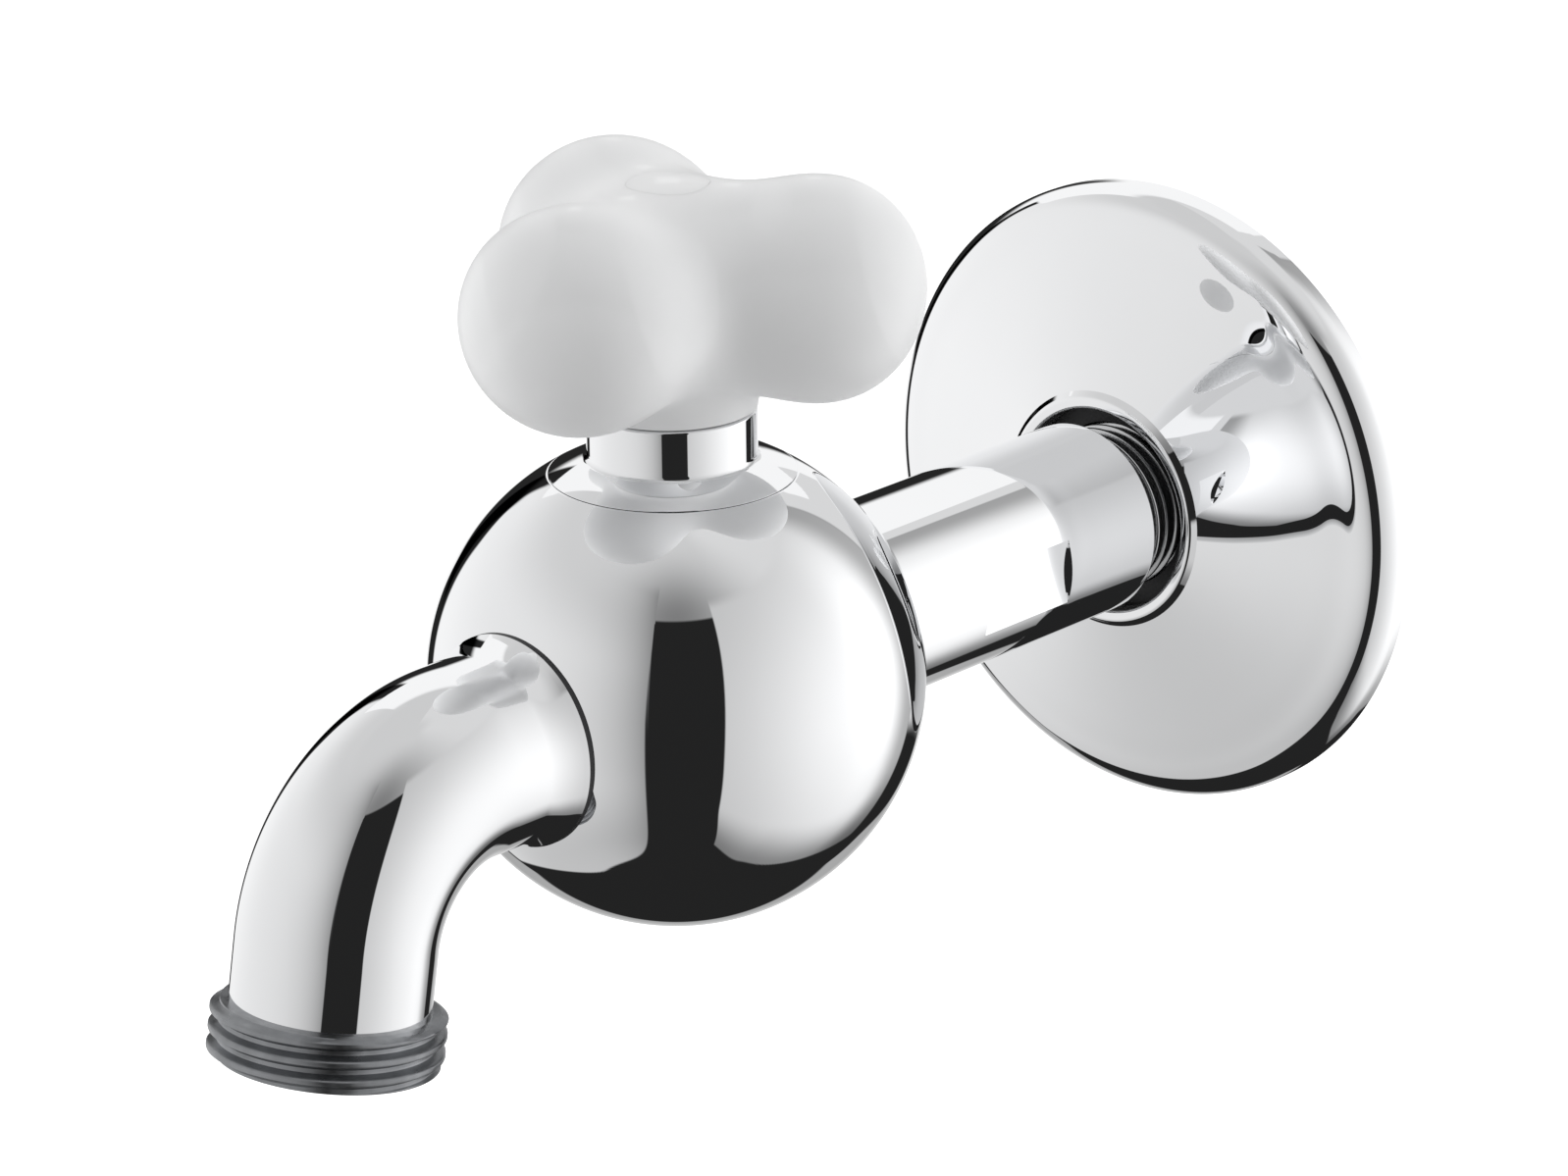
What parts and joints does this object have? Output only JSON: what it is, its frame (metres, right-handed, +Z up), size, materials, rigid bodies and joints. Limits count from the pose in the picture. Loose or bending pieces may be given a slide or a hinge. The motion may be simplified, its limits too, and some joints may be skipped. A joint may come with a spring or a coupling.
{
  "type": "garden tap",
  "caption": "Wall-mounted garden tap with a ball body, a lobed screw-down handle, a bent swivel spout with a hose thread and a round wall flange.",
  "frame": {"origin": "on the inlet's axis in the plane of the wall's face", "axes": "+Y into the wall along the inlet, +Z up, the spout reaches towards -Y"},
  "size_m": [0.0816, 0.1747, 0.1028],
  "materials": {
    "polished_chrome": "bright chrome plate on brass",
    "satin_metal": "duller plated metal of the threaded nose",
    "raw_brass": "machined brass",
    "black_rubber": "soft matt rubber",
    "grey_fibre": "pressed fibre",
    "white_foam": "closed-cell foam",
    "frosted_resin": "milky translucent resin with a satin surface",
    "spring_steel": "bright spring steel"
  },
  "bodies": {
    "body": {"valve_body": "polished_chrome", "seat_ring": "raw_brass", "bonnet": "polished_chrome", "bonnet_gasket": "grey_fibre", "packing_washer": "raw_brass", "gland_packing": "black_rubber", "gland_nut": "raw_brass", "wall_flange": "polished_chrome", "flange_pad": "white_foam"},
    "jumper": {"jumper_valve": "raw_brass", "valve_washer": "black_rubber", "washer_nut": "raw_brass"},
    "spindle": {"spindle": "raw_brass", "handle": "frosted_resin", "handle_insert": "raw_brass", "handle_screw": "spring_steel", "screw_cap": "frosted_resin"},
    "spout": {"spout_tube": "polished_chrome", "spout_tail": "raw_brass", "spout_collar": "polished_chrome", "spout_seal_front": "black_rubber", "spout_seal_back": "black_rubber", "snap_ring": "spring_steel", "outlet_nose": "satin_metal"}
  },
  "joints": [
    {"name": "valve_lift", "type": "slide", "parent": "body", "child": "jumper", "axis": [0, 0, 1], "range_m": [0, 0.00375]},
    {"name": "handle_turn", "type": "hinge", "parent": "jumper", "child": "spindle", "pos_m": [0, -0.0896, 0], "axis": [0, 0, 1], "range_deg": [0, 540]},
    {"name": "spout_swivel", "type": "hinge", "parent": "body", "child": "spout", "pos_m": [0, -0.0896, 0], "axis": [0, 1, 0], "continuous": true}
  ],
  "couplings": [
    {"joint": "valve_lift", "follows": "handle_turn", "m_per_rad": 0.00039789}
  ]
}
